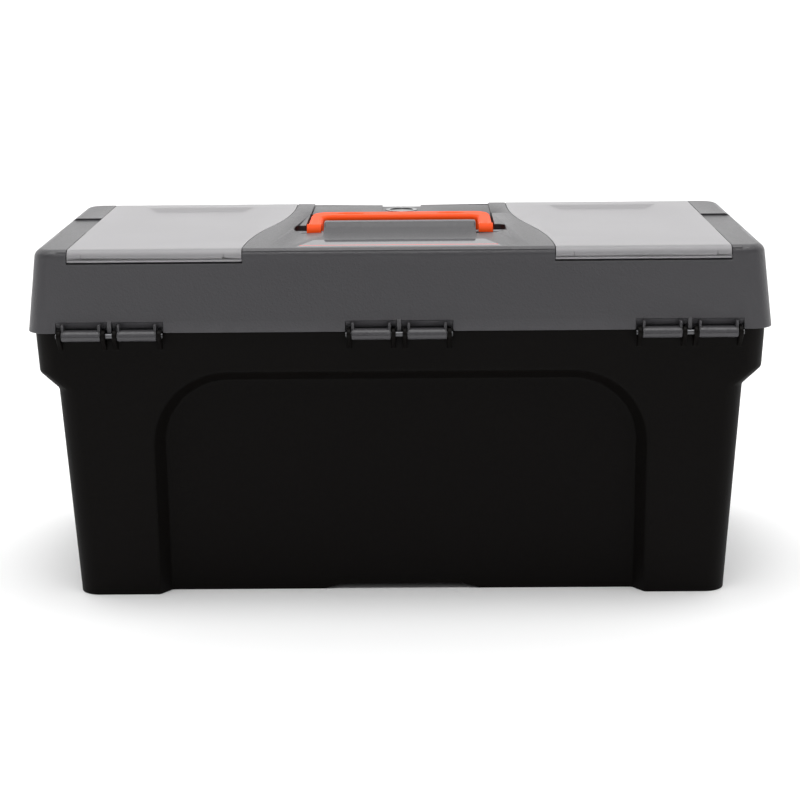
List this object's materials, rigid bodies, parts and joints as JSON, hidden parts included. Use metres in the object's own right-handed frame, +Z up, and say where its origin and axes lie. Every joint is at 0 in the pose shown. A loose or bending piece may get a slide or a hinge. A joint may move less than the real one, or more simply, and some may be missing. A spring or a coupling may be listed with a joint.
{
  "type": "toolbox with tray",
  "caption": "Long moulded hand toolbox with a hinged lid, clear flip-up organizer covers, a folding carrying handle, front latches and a lift-out tray.",
  "frame": {"origin": "on the floor under the middle of the box", "axes": "+X along the box, +Y towards the hinges, +Z up; the latches are at -Y"},
  "size_m": [0.56, 0.287, 0.278],
  "materials": {
    "tub_plastic": "fine-textured black polypropylene",
    "lid_plastic": "satin grey polypropylene",
    "handle_plastic": "satin orange plastic",
    "cover_plastic": "translucent frosted cover",
    "divider_plastic": "grey divider",
    "pin_steel": "dark zinc-plated pin",
    "tray_plastic": "textured black tray",
    "label_film": "glossy blank label with pinstripes",
    "badge_plastic": "plain glossy round badge"
  },
  "bodies": {
    "tub": {"tub": "tub_plastic", "hinge_pin_left": "pin_steel", "hinge_pin_centre": "pin_steel", "hinge_pin_right": "pin_steel"},
    "lid": {"lid": "lid_plastic", "label": "label_film", "badge": "badge_plastic", "handle_pin_left": "pin_steel", "handle_pin_right": "pin_steel", "latch_pin_left": "pin_steel", "latch_pin_right": "pin_steel", "divider_long_left": "divider_plastic", "divider_short_inner_left": "divider_plastic", "divider_short_outer_left": "divider_plastic", "divider_long_right": "divider_plastic", "divider_short_inner_right": "divider_plastic", "divider_short_outer_right": "divider_plastic"},
    "handle": {"handle": "handle_plastic"},
    "cover_left": {"organizer_cover_left": "cover_plastic"},
    "cover_right": {"organizer_cover_right": "cover_plastic"},
    "latch_left": {"latch_left": "handle_plastic"},
    "latch_right": {"latch_right": "handle_plastic"},
    "tray": {"tray": "tray_plastic", "tray_handle": "handle_plastic"}
  },
  "joints": [
    {"name": "lid_hinge", "type": "hinge", "parent": "tub", "child": "lid", "pos_m": [0, 0.139, 0.2083], "axis": [-1, 0, 0], "range_deg": [0, 100]},
    {"name": "handle_swing", "type": "hinge", "parent": "lid", "child": "handle", "pos_m": [0, 0.022, 0.267], "axis": [-1, 0, 0], "range_deg": [0, 90]},
    {"name": "cover_left_hinge", "type": "hinge", "parent": "lid", "child": "cover_left", "pos_m": [0.18, 0.1299, 0.264], "axis": [-1, 0, 0], "range_deg": [0, 110]},
    {"name": "cover_right_hinge", "type": "hinge", "parent": "lid", "child": "cover_right", "pos_m": [-0.18, 0.1299, 0.264], "axis": [-1, 0, 0], "range_deg": [0, 110]},
    {"name": "latch_left_swing", "type": "hinge", "parent": "lid", "child": "latch_left", "pos_m": [0.15, -0.139, 0.236], "axis": [-1, 0, 0], "range_deg": [0, 100]},
    {"name": "latch_right_swing", "type": "hinge", "parent": "lid", "child": "latch_right", "pos_m": [-0.15, -0.139, 0.236], "axis": [-1, 0, 0], "range_deg": [0, 100]},
    {"name": "tray_lift", "type": "slide", "parent": "tub", "child": "tray", "axis": [0, 0, 1], "range_m": [0, 0.034]}
  ]
}
